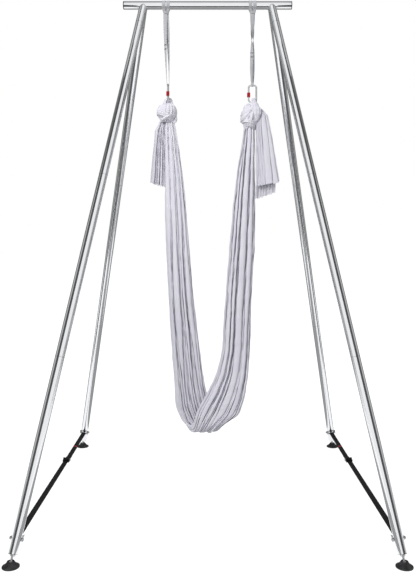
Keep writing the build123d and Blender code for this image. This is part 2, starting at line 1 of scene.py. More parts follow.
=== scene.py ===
import bpy
import numpy as np
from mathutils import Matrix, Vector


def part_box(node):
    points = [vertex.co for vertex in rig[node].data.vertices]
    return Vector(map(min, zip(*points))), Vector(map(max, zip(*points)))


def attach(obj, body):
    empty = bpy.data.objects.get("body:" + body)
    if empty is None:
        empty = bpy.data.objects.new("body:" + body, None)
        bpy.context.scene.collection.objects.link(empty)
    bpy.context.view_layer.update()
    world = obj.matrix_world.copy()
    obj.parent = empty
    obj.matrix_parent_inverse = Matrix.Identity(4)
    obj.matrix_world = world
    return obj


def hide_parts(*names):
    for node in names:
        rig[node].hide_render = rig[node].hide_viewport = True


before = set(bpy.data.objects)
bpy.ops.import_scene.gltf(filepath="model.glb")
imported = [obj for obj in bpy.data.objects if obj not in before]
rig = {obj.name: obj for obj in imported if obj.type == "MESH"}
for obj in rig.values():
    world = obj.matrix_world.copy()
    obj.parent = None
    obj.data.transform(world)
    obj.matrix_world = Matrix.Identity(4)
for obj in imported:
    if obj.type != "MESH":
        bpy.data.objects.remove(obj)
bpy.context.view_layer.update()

# Photographer's set: a pale floor, a camera at the height of a standing person's chest, two large soft
# boxes and a dim sky. The floor is white to the lens and keeps a faint shadow. Grey cards stand
# all round, unseen by the lens, so that the bright steel has something to mirror.
camera_lens = bpy.data.cameras.new("lens")
camera_lens.lens = 42.27
camera_lens.sensor_width = 36
camera_lens.shift_x = 0.0007
camera_lens.shift_y = -0.0838
camera = bpy.data.objects.new("camera", camera_lens)
camera.location = (0, -4.04, 1.525)
camera.rotation_euler = (np.pi / 2, 0, 0)
bpy.context.collection.objects.link(camera)
bpy.context.scene.camera = camera


def soft_box(name, place, target, size, watts):
    """A square lamp at place that faces target. A mirror doesn't see it, only the cards and the sky."""
    lamp = bpy.data.lights.new(name, "AREA")
    lamp.size = size
    lamp.energy = watts
    box = bpy.data.objects.new(name, lamp)
    box.location = place
    box.visible_glossy = False
    away = np.subtract(target, place)
    box.rotation_euler = (np.arctan2(np.hypot(away[0], away[1]), -away[2]), 0, np.arctan2(-away[0], away[1]))
    bpy.context.collection.objects.link(box)


soft_box("key_box", (-2.6, -3.7, 4.9), (0, 0, 1.8), 2.4, 238)
soft_box("fill_box", (3.8, -3.2, 2.6), (0, 0, 1.4), 2.6, 52)
soft_box("back_box", (1.5, 4.2, 4.2), (0, 0, 1.5), 2.6, 100)


def make_node(tree, kind, links=(), **values):
    """A shader node with the values of its sockets; links join other nodes' outputs to its sockets."""
    made = tree.nodes.new("ShaderNode" + kind)
    for name, value in values.items():
        spot = name.replace("_", " ")
        if spot in made.inputs:
            made.inputs[spot].default_value = value
        else:
            setattr(made, name, value)
    for output, socket in links:
        tree.links.new(output, made.inputs[socket])
    return made


def seen_directly(tree):
    """1 where the lens, a mirror or glass looks, and 0 where light only scatters."""
    ray = make_node(tree, "LightPath")
    first = make_node(tree, "Math", [(ray.outputs[0], 0), (ray.outputs["Is Glossy Ray"], 1)], operation="MAXIMUM")
    both = [(first.outputs[0], 0), (ray.outputs["Is Transmission Ray"], 1)]
    return make_node(tree, "Math", both, operation="MAXIMUM").outputs[0]


sky = bpy.data.worlds.new("sky")
sky.use_nodes = True
sky.node_tree.nodes.clear()
dim = make_node(sky.node_tree, "Background", Color=(0.86, 0.9, 1, 1), Strength=0.31)
white = make_node(sky.node_tree, "Background", Color=(1, 1, 1, 1), Strength=1)
sky_links = [(seen_directly(sky.node_tree), 0), (dim.outputs[0], 1), (white.outputs[0], 2)]
sky_mix = make_node(sky.node_tree, "MixShader", sky_links)
make_node(sky.node_tree, "OutputWorld", [(sky_mix.outputs[0], 0)])
bpy.context.scene.world = sky
bpy.context.scene.view_settings.view_transform = "Standard"


def surface(name, points, faces, finish, uv=None):
    """A mesh object of the points and faces, smooth shaded, with one finish and, if given, a point UV."""
    mesh = bpy.data.meshes.new(name)
    mesh.from_pydata(points.reshape(-1, 3).tolist(), [], faces.tolist())
    mesh.polygons.foreach_set("use_smooth", np.ones(len(mesh.polygons), bool))
    if uv is not None:
        layer = mesh.uv_layers.new(name="cloth")
        corner = np.empty(len(mesh.loops), int)
        mesh.loops.foreach_get("vertex_index", corner)
        layer.data.foreach_set("uv", uv.reshape(-1, 2)[corner].ravel())
    mesh.materials.append(finish)
    made = bpy.data.objects.new(name, mesh)
    bpy.context.collection.objects.link(made)
    return made


def grid_faces(rows, columns, ring=False, closed=False):
    """Four-sided faces of a rows by columns grid. ring joins the last column to the first, closed the
    last row to the first."""
    down = np.arange(rows if closed else rows - 1)[:, None]
    over = np.arange(columns if ring else columns - 1)[None]
    next_down, next_over = (down + 1) % rows, (over + 1) % columns
    corners = (down * columns + over, down * columns + next_over, next_down * columns + next_over)
    return np.stack([*corners, next_down * columns + over], -1).reshape(-1, 4)


floor_finish = bpy.data.materials.new("floor_white")
floor_finish.use_nodes = True
floor_tree = floor_finish.node_tree
floor_tree.nodes.clear()
matt = make_node(floor_tree, "BsdfDiffuse", Color=(0.55, 0.55, 0.55, 1))
shade = make_node(floor_tree, "BsdfDiffuse", Color=(0.3, 0.3, 0.3, 1))
distance = make_node(floor_tree, "VectorMath", [(make_node(floor_tree, "TexCoord").outputs["Object"], 0)],
                     operation="LENGTH")
paler = make_node(floor_tree, "MapRange", [(distance.outputs["Value"], 0)])
for socket, value in {"From Min": 2.0, "From Max": 6.0, "To Min": 0.88, "To Max": 1.0}.items():
    paler.inputs[socket].default_value = value
glow = make_node(floor_tree, "Emission", [(paler.outputs[0], "Strength")], Color=(1, 1, 1, 1))
lifted = make_node(floor_tree, "AddShader", [(shade.outputs[0], 0), (glow.outputs[0], 1)])
floor_links = [(seen_directly(floor_tree), 0), (matt.outputs[0], 1), (lifted.outputs[0], 2)]
floor_mix = make_node(floor_tree, "MixShader", floor_links)
make_node(floor_tree, "OutputMaterial", [(floor_mix.outputs[0], 0)])
floor_corners = np.array([(-60, -60, 0), (60, -60, 0), (60, 60, 0), (-60, 60, 0)], float)
floor = surface("floor", floor_corners, np.array([[0, 1, 2, 3]]), floor_finish)



def card(name, points, tone):
    """A grey card for the bright steel to mirror. It glows by tone, and only a mirror sees it."""
    if f"card_{tone}" not in bpy.data.materials:
        grey = bpy.data.materials.new(f"card_{tone}")
        grey.use_nodes = True
        grey.node_tree.nodes.clear()
        even = make_node(grey.node_tree, "Emission", Color=(tone, tone, tone, 1))
        make_node(grey.node_tree, "OutputMaterial", [(even.outputs[0], 0)])
    points = np.array(points, float)
    made = surface(name, points, grid_faces(*points.shape[:2]), bpy.data.materials[f"card_{tone}"])
    made.visible_camera = made.visible_diffuse = made.visible_shadow = False


# Behind and at both sides the room is grey; its ceiling and its floor under the rig are grey too
for name, start, end, high, tone in (("rear", 100, 260, 13, 0.24), ("left", -100, -60, 11, 0.5), ("right", 60, 100, 11, 0.5)):
    angle = np.radians(np.linspace(start, end, 25))
    card(f"{name}_card", [[(7 * np.sin(a), -7 * np.cos(a), z) for a in angle] for z in (0.02, high)], tone)
card("ceiling_card", [[(-4, -3, 7.5), (4, -3, 7.5)], [(-4, 6, 7.5), (4, 6, 7.5)]], 0.42)
card("floor_card", [[(-0.7, -1.8, 0.01), (0.7, -1.8, 0.01)], [(-0.7, 1.1, 0.01), (0.7, 1.1, 0.01)]], 0.36)
card("rear_floor_card", [[(-5, 1.1, 0.01), (5, 1.1, 0.01)], [(-5, 6, 0.01), (5, 6, 0.01)]], 0.3)
card("dark_floor_card", [[(-1, -4.6, 0.01), (1, -4.6, 0.01)], [(-1, -1.8, 0.01), (1, -1.8, 0.01)]], 0.11)
# Dark flags stand beside the legs and lean with them. Each is edge-on to the legs of the other side.
for turn in (-1, 1):
    front, back = [], []
    for z in (0.02, 2.84):
        share = (2.925 - z) / 2.905
        x, y = 0.383 + 0.532 * share, 0.908 * share
        front.append([(turn * 1.092 * x, -y - 0.522 * x, z), (turn * 2.52 * x, -y - 0.878 * x, z)])
        back.append([(turn * 1.9 * x, y - 1.2 * x, z), (turn * 2.35 * x, y - 0.35 * x, z)])
    # Above the bar's height the front flag goes on farther out, out of the bar's own sight
    front.append([(turn * 0.6, -0.62, 2.86), (turn * 1.5, -1.0, 2.86)])
    front.append([(turn * 0.66, -0.8, 4), (turn * 2.3, -1.66, 4)])
    front.append([(turn * 0.9, -1.2, 6.5), (turn * 3.4, -2.5, 6.5)])
    card(f"front_flag_{turn}", front, 0.09)
    card(f"back_flag_{turn}", back, 0.16)

# Top bar: one steel tube, plated bright, with a short stub welded on for each leg. The plating is smooth,
# with a little handling haze.


def finish(name, colour, roughness, metallic=0.0, **values):
    """A new material with one Principled shader: returns the material, its node tree and the shader."""
    made = bpy.data.materials.new(name)
    made.use_nodes = True
    shader = made.node_tree.nodes["Principled BSDF"]
    values = {"Base Color": (*colour, 1), "Roughness": roughness, "Metallic": metallic, **values}
    for socket, value in values.items():
        shader.inputs[socket].default_value = value
    return made, made.node_tree, shader


def spread(tree, source, low, high, start=0.3, end=0.7):
    """Turns a pattern's value from start to end into a value from low to high."""
    span = {"From Min": start, "From Max": end, "To Min": low, "To Max": high}
    made = make_node(tree, "MapRange", [(source, 0)])
    for socket, value in span.items():
        made.inputs[socket].default_value = value
    return made.outputs[0]


def blend_colours(tree, share, first, second):
    """A colour between two, by share."""
    made = make_node(tree, "Mix", data_type="RGBA")
    tree.links.new(share, made.inputs[0])
    made.inputs[6].default_value = (*first, 1)
    made.inputs[7].default_value = (*second, 1)
    return made.outputs[2]


def grain(tree, scale, detail=3.0, stretch=None, coordinates="Object"):
    """A noise pattern on the piece's own coordinates, stretched along its axes when asked."""
    place = make_node(tree, "TexCoord").outputs[coordinates]
    if stretch:
        place = make_node(tree, "Mapping", [(place, 0)], Scale=stretch).outputs[0]
    return make_node(tree, "TexNoise", [(place, 0)], Scale=scale, Detail=detail).outputs[0]


def raise_by(tree, shader, height, strength, distance):
    """Bump from a height pattern."""
    made = make_node(tree, "Bump", [(height, "Height")], Strength=strength, Distance=distance)
    tree.links.new(made.outputs[0], shader.inputs["Normal"])


plating, tree, shader = finish("bright_plating", (0.72, 0.73, 0.75), 0.16, 1.0)
haze = grain(tree, 9)
tree.links.new(spread(tree, haze, 0.07, 0.14), shader.inputs["Roughness"])
tree.links.new(blend_colours(tree, haze, (0.78, 0.79, 0.81), (0.86, 0.87, 0.88)), shader.inputs["Base Color"])
rig["top_bar"].data.materials[0] = plating

moulded, tree, shader = finish("moulded_black", (0.022, 0.022, 0.024), 0.45)
tree.links.new(spread(tree, grain(tree, 60), 0.36, 0.56), shader.inputs["Roughness"])
raise_by(tree, shader, grain(tree, 1400, 1), 0.25, 0.0003)
for side in ("left", "right"):
    rig[f"{side}_bar_cap"].data.materials[0] = moulded

bar_height = 2.925
sides = {"left": -1, "right": 1}
ends = {"front": -1, "back": 1}
leg_foot = np.array([0.915, 0.908, 0.02])
leg_top_x = 0.383
leg_radius = 0.024


def unit(v):
    """Vectors scaled to length one."""
    return v / np.linalg.norm(v, axis=-1, keepdims=True)


def leg_frame(side, end):
    """A leg's top on the bar's axis, its direction down the leg, and two directions across it."""
    top = np.array([side * leg_top_x, 0, bar_height])
    down = unit(leg_foot * (side, end, 1) - top)
    across = unit(np.cross((0, end, 0), down))
    return top, down, across, np.cross(down, across)


def tube_along(path, radius, around, closed=False, squeeze=1.0):
    """A round tube along a path, as a grid: each ring lies across the path, and its two directions are
    carried from ring to ring without twist. radius may be an array of the grid's own shape."""
    ahead = np.roll(path, -1, 0) - np.roll(path, 1, 0) if closed else np.gradient(path, axis=0)
    ahead = unit(ahead)
    first = np.cross(ahead, (0.31, 0.53, 0.79))
    for i in range(1, len(path)):
        first[i] = first[i - 1] - ahead[i] * (first[i - 1] @ ahead[i])
    first = unit(first)
    second = np.cross(ahead, first)
    angle = np.linspace(0, 2 * np.pi, around, endpoint=False)
    ring = np.cos(angle)[None, :, None] * first[:, None] + np.sin(angle)[None, :, None] * second[:, None] * squeeze
    size = np.broadcast_to(np.asarray(radius, float).reshape(-1, 1) if np.ndim(radius) < 2 else radius,
                           (len(path), around))
    return path[:, None] + ring * size[..., None]


# Each weld is the curve where the stub meets the bar: along the stub's wall, the distance at which the
# point is one bar radius from the bar's axis. The bead is a rippled cord along it.
bead, tree, shader = finish("weld_bead", (0.6, 0.6, 0.61), 0.3, 1.0)
tree.links.new(spread(tree, grain(tree, 400), 0.24, 0.42), shader.inputs["Roughness"])
for end_name, end in ends.items():
    for side_name, side in sides.items():
        top, down, across, other = leg_frame(side, end)
        angle = np.linspace(0, 2 * np.pi, 96, endpoint=False)[:, None]
        wall = leg_radius * (np.cos(angle) * across + np.sin(angle) * other)
        a = down[1] ** 2 + down[2] ** 2
        b = 2 * (wall[:, 1] * down[1] + wall[:, 2] * down[2])
        c = wall[:, 1] ** 2 + wall[:, 2] ** 2 - 0.0252**2
        reach = (-b + np.sqrt(np.maximum(b * b - 4 * a * c, 0))) / (2 * a)
        seam = top + wall + down * reach[:, None]
        ripple = 0.0022 + 0.0004 * np.sin(angle * 48)
        bead_points = tube_along(seam, ripple, 8, closed=True)
        weld = surface(f"{end_name}_{side_name}_weld", bead_points, grid_faces(96, 8, True, True), bead)
        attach(weld, "stand")

# Legs: three plated tubes each, pushed together on inner spigots. A fine dark line shows at each joint,
# where the tubes' ends are turned down a little. The lowest tube is drilled for the shackle's bolt.
joint_line, tree, shader = finish("joint_line", (0.1, 0.1, 0.105), 0.5, 1.0)
tree.links.new(spread(tree, grain(tree, 300), 0.4, 0.65), shader.inputs["Roughness"])
joint_distances = (0.125, 1.115, 2.125)
for end_name, end in ends.items():
    for side_name, side in sides.items():
        for part in ("upper", "middle", "lower"):
            rig[f"{end_name}_{side_name}_{part}_tube"].data.materials[0] = plating
        top, down, across, other = leg_frame(side, end)
        profile = np.array([(-0.8, -0.3), (-0.5, 0.12), (0.5, 0.12), (0.8, -0.3)]) / 1000
        angle = np.linspace(0, 2 * np.pi, 48, endpoint=False)
        ring = np.cos(angle)[:, None] * across + np.sin(angle)[:, None] * other
        for number, distance in enumerate(joint_distances):
            middle = top + down * (distance + profile[:, :1])
            points = middle[:, None] + ring[None] * (leg_radius + profile[:, 1])[:, None, None]
            line_name = f"{end_name}_{side_name}_joint_{number + 1}"
            line = surface(line_name, points, grid_faces(4, 48, True, True)[:, ::-1], joint_line)
            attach(line, "stand")

# Feet: a black end plug in the tube, a lock nut, a threaded steel stem with a ball end, and a rubber pad
# that tilts on the ball. The thread is rolled, so its ridges and valleys are rounded.
zinc, tree, shader = finish("zinc_plate", (0.62, 0.63, 0.65), 0.3, 1.0)
cloud = grain(tree, 90)
tree.links.new(spread(tree, cloud, 0.22, 0.42), shader.inputs["Roughness"])
tree.links.new(blend_colours(tree, cloud, (0.5, 0.51, 0.54), (0.7, 0.7, 0.71)), shader.inputs["Base Color"])
raise_by(tree, shader, grain(tree, 900, 2), 0.12, 0.0002)
rubber, tree, shader = finish("black_rubber", (0.02, 0.02, 0.021), 0.62)
scuff = grain(tree, 45, 5)
tree.links.new(spread(tree, scuff, 0.5, 0.78), shader.inputs["Roughness"])
tree.links.new(blend_colours(tree, spread(tree, scuff, 0, 1, 0.45, 0.75), (0.014, 0.014, 0.015), (0.05, 0.05, 0.05)),
               shader.inputs["Base Color"])
raise_by(tree, shader, grain(tree, 1200, 2), 0.3, 0.0004)
rig["lock_nuts"].data.materials[0] = zinc

leg_length = np.linalg.norm(leg_foot * (1, 1, 1) - (leg_top_x, 0, bar_height))
thread_pitch = 0.00175
for end_name, end in ends.items():
    for side_name, side in sides.items():
        corner = f"{end_name}_{side_name}"
        rig[f"{corner}_end_plug"].data.materials[0] = moulded
        rig[f"{corner}_foot_pad"].data.materials[0] = rubber
        top, down, across, other = leg_frame(side, end)
        # Radius along the stem: thread 6 mm, then the neck, then the ball, whose outline is a half circle
        thread = np.linspace(leg_length - 0.1, leg_length - 0.0165, 300)
        ball_angle = np.linspace(0.42, np.pi - 0.02, 22)
        distance = np.concatenate([thread, [leg_length - 0.0155], leg_length - 0.01 * np.cos(ball_angle)])
        radius = np.concatenate([np.full(300, 0.006), [0.004], 0.01 * np.sin(ball_angle)])
        angle = np.linspace(0, 2 * np.pi, 24, endpoint=False)
        turn = angle[None] + 2 * np.pi * distance[:, None] / thread_pitch
        ridge = np.where(radius[:, None] == 0.006, 0.0003 * (np.cos(turn) - 1), 0)
        radius = (radius[:, None] + ridge)[..., None]
        ring = np.cos(angle)[:, None] * across + np.sin(angle)[:, None] * other
        points = top + down * distance[:, None, None] + ring[None] * radius
        ends_closed = np.stack([np.full(24, len(points) * 24), np.arange(24), np.roll(np.arange(24), -1)], 1)
        rod_faces = grid_faces(len(points), 24, True)[:, ::-1].tolist()
        first = list(range(24))
        last = [(len(points) - 1) * 24 + i for i in range(24)]
        stem_mesh = bpy.data.meshes.new(f"{corner}_threaded_stem")
        stem_mesh.from_pydata(points.reshape(-1, 3).tolist(), [], rod_faces + [first, last[::-1]])
        stem_mesh.polygons.foreach_set("use_smooth", np.ones(len(stem_mesh.polygons), bool))
        stem_mesh.materials.append(zinc)
        stem = bpy.data.objects.new(f"{corner}_threaded_stem", stem_mesh)
        bpy.context.collection.objects.link(stem)
        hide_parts(f"{corner}_foot_stem")
        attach(stem, f"{corner}_stem")
        rig[f"{corner}_shackle"].data.materials[0] = zinc
rig["cross_bolts"].data.materials[0] = zinc
rig["cross_nuts"].data.materials[0] = zinc

# Side straps: black polyester webbing with a sewn loop at each end. The long one is held by the front
# shackle and runs under the buckle's cam; the short one joins the buckle to the back shackle.


def flat_weave(name, colour, ridge_colour):
    """Woven webbing: fine ribs across it and fine rows along it, on the piece's UV in metres."""
    made, tree, shader = finish(name, colour, 0.75)
    place = make_node(tree, "TexCoord").outputs["UV"]
    ribs = make_node(tree, "TexWave", [(place, 0)], bands_direction="Y", Scale=280, Distortion=0.6)
    ribs.inputs["Detail Scale"].default_value = 60
    rows = make_node(tree, "TexWave", [(place, 0)], bands_direction="X", Scale=190, Distortion=0.3)
    both = make_node(tree, "Math", [(ribs.outputs["Fac"], 0), (rows.outputs["Fac"], 1)], operation="MULTIPLY")
    shade = blend_colours(tree, both.outputs[0], colour, ridge_colour)
    worn = make_node(tree, "MixRGB", [(grain(tree, 30, 4), 0), (shade, 1)], blend_type="MULTIPLY")
    worn.inputs[2].default_value = (0.82, 0.82, 0.82, 1)
    tree.links.new(worn.outputs[0], shader.inputs["Base Color"])
    raise_by(tree, shader, both.outputs[0], 0.5, 0.0003)
    shader.inputs["Specular IOR Level"].default_value = 0.3
    return made


def smooth(values, half_width):
    """A running average with a bell-shaped window, mirrored through the end values at both ends."""
    bell = np.hanning(2 * half_width + 3)[1:-1]
    head = 2 * values[:1] - values[half_width:0:-1]
    foot = 2 * values[-1:] - values[-2:-half_width - 2:-1]
    longer = np.concatenate([head, values, foot])
    columns = [np.convolve(column, bell / bell.sum(), "valid") for column in longer.reshape(len(longer), -1).T]
    return np.stack(columns, -1).reshape(values.shape)


def evenly(path, step):
    """The same path with its points step apart, or nearly."""
    run = np.concatenate([[0], np.cumsum(np.linalg.norm(np.diff(path, axis=0), axis=1))])
    places = np.linspace(0, run[-1], max(3, int(run[-1] / step) + 1))
    return np.stack([np.interp(places, run, column) for column in path.T], -1)


def webbing(name, path, across, width, thickness, weave):
    """Webbing along a path: a flat band with round edges, closed at both ends. Its outline is a thin
    superellipse, carried along with its width on the across directions."""
    ahead = unit(np.gradient(path, axis=0))
    across = unit(across - ahead * (across * ahead).sum(-1, keepdims=True))
    up = np.cross(across, ahead)
    count = 24
    angle = np.linspace(0, 2 * np.pi, count, endpoint=False)
    side_share = np.sign(np.cos(angle)) * np.abs(np.cos(angle)) ** 0.35
    up_share = np.sign(np.sin(angle)) * np.abs(np.sin(angle)) ** 0.6
    width = np.broadcast_to(width, len(path)).astype(float)
    ring = side_share[None, :, None] * across[:, None] * width[:, None, None] / 2
    ring = ring + up_share[None, :, None] * up[:, None] * thickness / 2
    points = path[:, None] + ring
    closed = np.concatenate([np.broadcast_to(path[0], (1, count, 3)), points,
                             np.broadcast_to(path[-1], (1, count, 3))])
    run = np.concatenate([[0], np.cumsum(np.linalg.norm(np.diff(path, axis=0), axis=1))])
    run = np.concatenate([run[:1], run, run[-1:]])
    u = np.broadcast_to(side_share * width.mean() / 2, (len(closed), count))
    uv = np.stack([u, np.broadcast_to(run[:, None], u.shape)], -1)
    return surface(name, closed, grid_faces(len(closed), count, True)[:, ::-1], weave, uv)


def stitches(name, starts, stops, up, finish_used, size=0.0006):
    """Sewn stitches: each is a small lozenge, widest in its middle, from one needle hole to the next."""
    starts, stops, up = (np.asarray(x, float) for x in (starts, stops, up))
    ahead = unit(stops - starts)
    beside = np.cross(ahead, up) * size
    middle = (starts + stops) / 2
    lift = up * size
    points = np.stack([starts, middle + beside, middle + lift, middle - beside, middle - lift * 0.4, stops], 1)
    pattern = np.array([(0, 1, 2), (0, 2, 3), (0, 3, 4), (0, 4, 1), (5, 2, 1), (5, 3, 2), (5, 4, 3), (5, 1, 4)])
    faces = (np.arange(len(points))[:, None, None] * 6 + pattern[None]).reshape(-1, 3)
    return surface(name, points, faces, finish_used)


def sewn_lines(corners, step):
    """Needle holes along joined straight lines, as starts and stops with a small gap between stitches."""
    starts, stops = [], []
    for a, b in zip(corners[:-1], corners[1:]):
        share = np.linspace(0, 1, max(2, round(np.linalg.norm(np.subtract(b, a)) / step) + 1))[:, None]
        holes = np.asarray(a) + share * np.subtract(b, a)
        starts.append(holes[:-1] + 0.12 * np.diff(holes, axis=0))
        stops.append(holes[1:] - 0.12 * np.diff(holes, axis=0))
    return np.concatenate(starts), np.concatenate(stops)


black_weave = flat_weave("black_webbing", (0.008, 0.008, 0.009), (0.022, 0.022, 0.023))
black_thread, tree, shader = finish("black_thread", (0.025, 0.025, 0.027), 0.5)
tree.links.new(spread(tree, grain(tree, 500), 0.4, 0.65), shader.inputs["Roughness"])
red_weave = flat_weave("red_tab_cloth", (0.25, 0.025, 0.03), (0.42, 0.05, 0.06))
strap_width, strap_thickness = 0.03, 0.0022
leg_share = (bar_height - 0.118) / (bar_height - leg_foot[2])
strap_x = leg_top_x + leg_share * (leg_foot[0] - leg_top_x)
crossbar_y = leg_share * leg_foot[1] - 0.036
crossbar_radius, rear_bar_radius = 0.0035, 0.0025
gunmetal, tree, shader = finish("gunmetal", (0.1, 0.1, 0.105), 0.36, 1.0)
tree.links.new(spread(tree, grain(tree, 200), 0.28, 0.48), shader.inputs["Roughness"])
raise_by(tree, shader, grain(tree, 1100, 2), 0.1, 0.0002)
rear_bar_y, rear_bar_z = 0.273, -0.007
sewn = 0.09  # from the bar to the end of the sewn part


def sewn_loop(bar, radius, away, lower):
    """A strap's end round a bar, in the strap's own plane: back along one side, round the bar, and out
    along the other. away is the way that the strap leaves, lower the side where its end is sewn."""
    turn_radius = radius + 0.0003 + strap_thickness / 2
    half = strap_thickness / 2 + 0.00005
    angle = np.radians(np.linspace(-100, 100, 21))
    round_bar = np.stack([-away * turn_radius * np.cos(angle), lower * -turn_radius * np.sin(angle)], -1)[::-1]
    end = np.array([(away * sewn, lower * half), (away * 0.032, lower * half), (away * 0.024, lower * half * 1.2)])
    out = np.array([(away * 0.024, -lower * half * 1.2), (away * 0.032, -lower * half)])
    if round_bar[0, 1] * lower < 0:
        round_bar = round_bar[::-1]
    return np.concatenate([end, round_bar, out]) + bar


for side_name, side in sides.items():
    leg_slope = (leg_foot[0] - leg_top_x) / (bar_height - leg_foot[2])
    across = unit(np.array([1, 0, side * leg_slope]))
    up = np.cross(across, (0, 1, 0))
    base = np.array([side * strap_x, 0, 0.118])

    def on_strap(flat):
        """Points of the strap's own plane (to the back, up) as points of the rig."""
        flat = np.atleast_2d(flat)
        return base + flat[:, :1] * np.array([0, 1, 0]) + flat[:, 1:] * up

    front_end = sewn_loop((-crossbar_y, 0), crossbar_radius, 1, -1)
    long_run = np.array([(-crossbar_y + sewn + 0.02, 0), (0, -0.0), (rear_bar_y + 0.034, 0)])
    back_end = sewn_loop((crossbar_y, 0), crossbar_radius, -1, -1)[::-1]
    buckle_end = sewn_loop((rear_bar_y, rear_bar_z), rear_bar_radius, 1, -1)
    middle = np.array([(rear_bar_y + sewn + 0.02, -0.0056), (crossbar_y - sewn - 0.02, -0.0012)])
    for kind, flat in (("long", np.concatenate([front_end, long_run])),
                       ("anchor", np.concatenate([buckle_end, middle, back_end]))):
        path = on_strap(smooth(evenly(flat, 0.0008), 3))
        straight = np.linspace(0, 1, len(path))
        keep = np.unique(np.concatenate([np.arange(0, len(path), 12), np.arange(0, 260),
                                         np.arange(len(path) - 260, len(path))]))
        strap = webbing(f"{side_name}_{kind}_webbing", path[keep], np.broadcast_to(across, (len(keep), 3)),
                        strap_width, strap_thickness, black_weave)
        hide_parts(f"{side_name}_{kind}_strap")
        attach(strap, "stand")
    for place, way in ((-crossbar_y, 1), (crossbar_y, -1), (rear_bar_y, 1)):
        # A box with a cross in it, sewn through both layers on the upper side
        half = strap_width / 2 - 0.004
        near, far = place + way * 0.036, place + way * 0.084
        lift = 0.0024 + (rear_bar_z + 0.0008 if place == rear_bar_y else 0)
        box = [(near, -half), (far, -half), (far, half), (near, half), (near, -half), (far, half)]
        starts, stops = sewn_lines(box + [(far, -half), (near, half)], 0.0032)
        places = [base + p[:, :1] * np.array([0, 1, 0]) + p[:, 1:] * across + up * lift for p in (starts, stops)]
        sewing = stitches(f"{side_name}_stitch_box_{round(place * 1000)}", *places,
                          np.broadcast_to(up, places[0].shape), black_thread)
        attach(sewing, "stand")
    for part in ("buckle_frame", "buckle_lever"):
        rig[f"{side_name}_{part}"].data.materials[0] = gunmetal

    # A folded red tab, sewn flat on the anchor strap
    tab_flat = np.stack([np.linspace(0.53, 0.55, 12), np.linspace(-0.00318, -0.003, 12) + 0.0007], -1)
    tab = webbing(f"{side_name}_red_tab", on_strap(tab_flat), np.broadcast_to(across, (12, 3)), 0.022, 0.0012,
                  red_weave)
    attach(tab, "stand")
    if side_name == "right":
        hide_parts("strap_tabs")
rig["buckle_pins"].data.materials[0] = zinc

# Slings: a loop of light grey webbing, hitched round the bar and twisted on its way down, with the steel
# carabiner in its lower end. Bar tacks of dark thread close the loop's seam.
grey_weave = flat_weave("grey_webbing", (0.46, 0.46, 0.47), (0.68, 0.68, 0.69))
dark_thread, tree, shader = finish("dark_thread", (0.05, 0.05, 0.055), 0.5)
tree.links.new(spread(tree, grain(tree, 500), 0.4, 0.65), shader.inputs["Roughness"])
sling_thickness = 0.0022
bar_radius = 0.025
